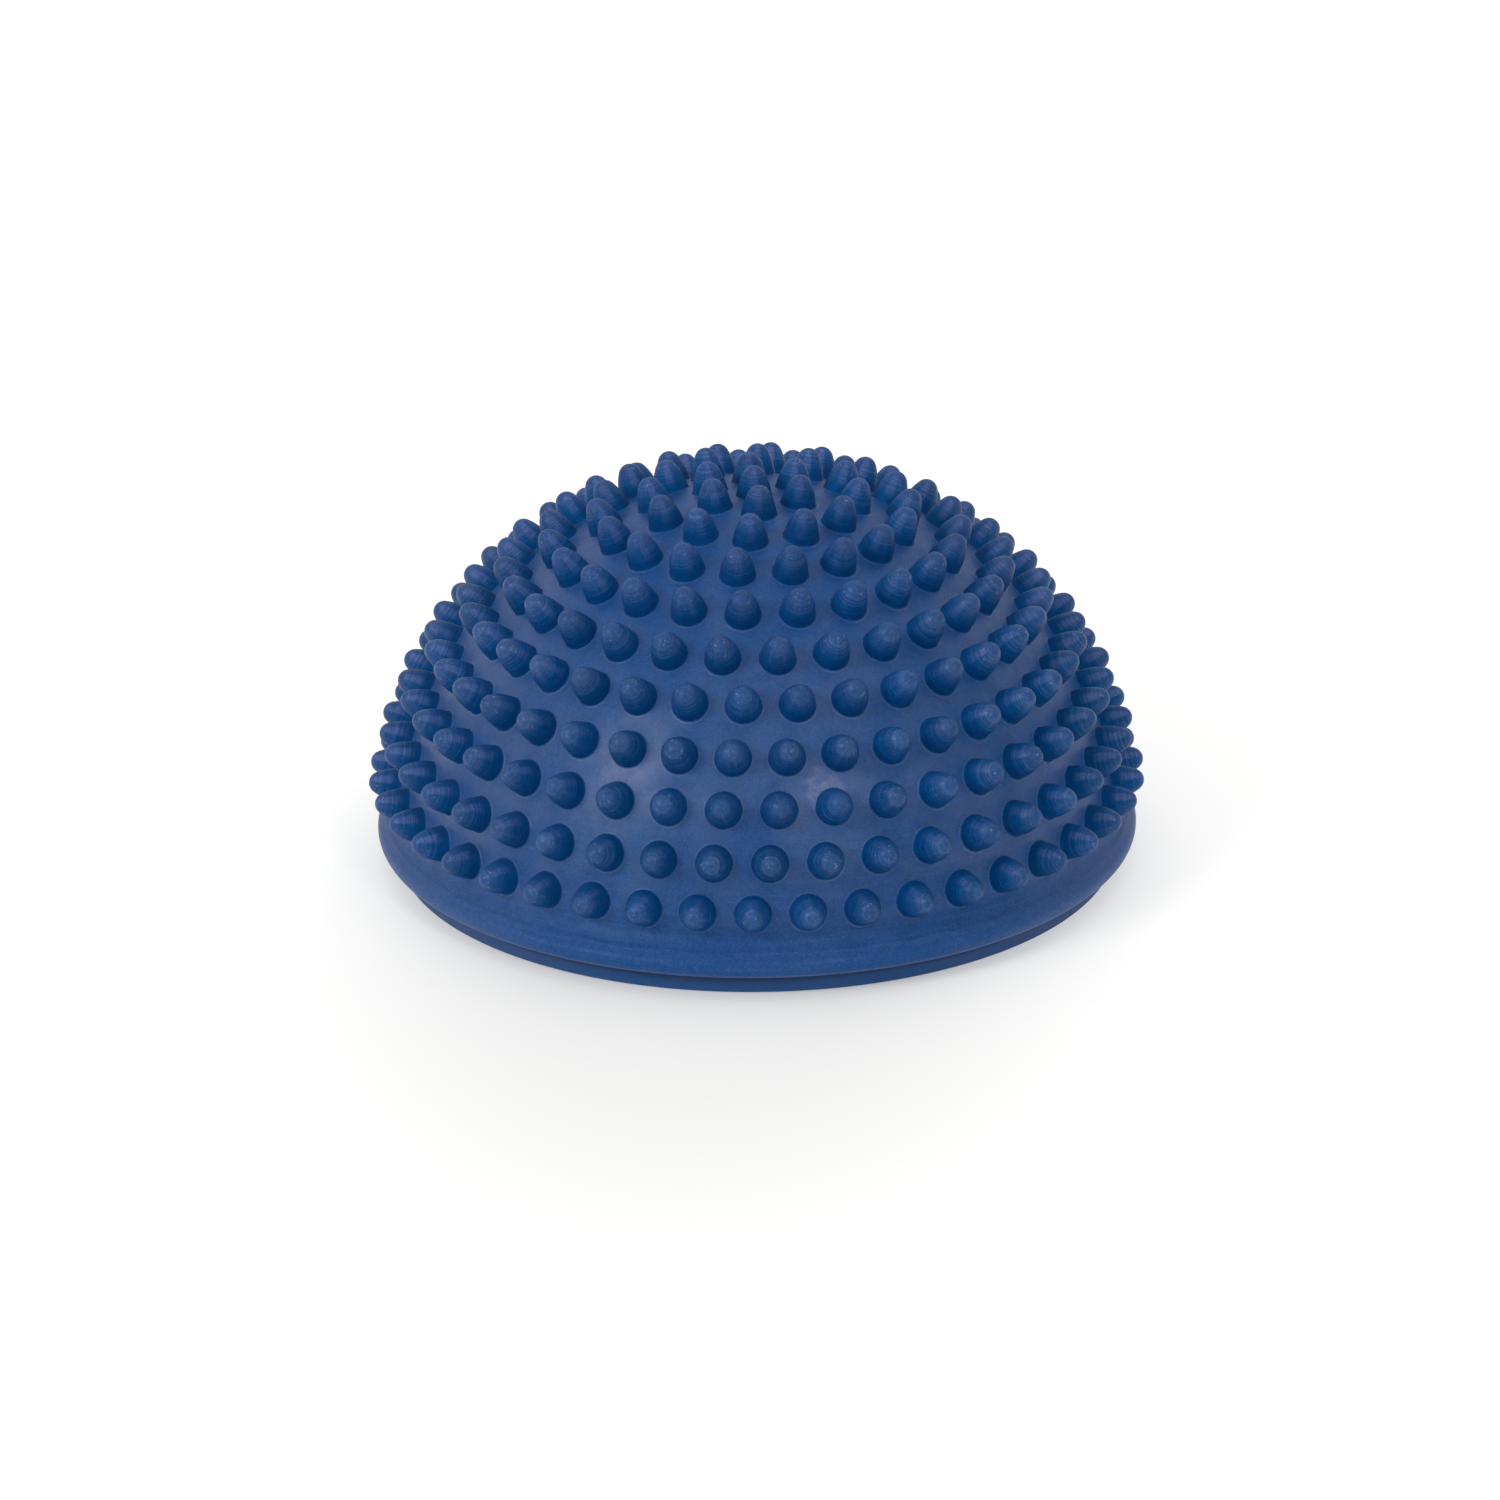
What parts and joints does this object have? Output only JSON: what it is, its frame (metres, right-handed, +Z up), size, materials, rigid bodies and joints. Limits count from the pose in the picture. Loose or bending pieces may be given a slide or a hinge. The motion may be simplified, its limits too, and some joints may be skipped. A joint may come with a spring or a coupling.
{
  "type": "balance dome trainer",
  "caption": "Air-filled soft dome on a flat base, covered in bullet-shaped massage studs, for balance and foot training; a plug in the underside closes its air valve.",
  "frame": {"origin": "middle of the round base, on the floor plane", "axes": "+Z up through the top stud; -Y is the side that faces the viewer; the valve plug's tab points to +X"},
  "size_m": [0.1631, 0.163, 0.0844],
  "materials": {
    "dome_pvc": "matt soft PVC, fine turned rings on the studs, light bloom",
    "base_pvc": "matt soft PVC",
    "valve_rubber": "matt soft rubber",
    "plug_rubber": "satin soft plastic"
  },
  "bodies": {
    "dome": {"dome_shell": "dome_pvc", "base_disc": "base_pvc", "valve_body": "valve_rubber"},
    "plug": {"valve_plug": "plug_rubber"}
  },
  "joints": [
    {"name": "valve_plug_pull", "type": "slide", "parent": "dome", "child": "plug", "axis": [0, 0, -1], "range_m": [0, 0.016]}
  ]
}
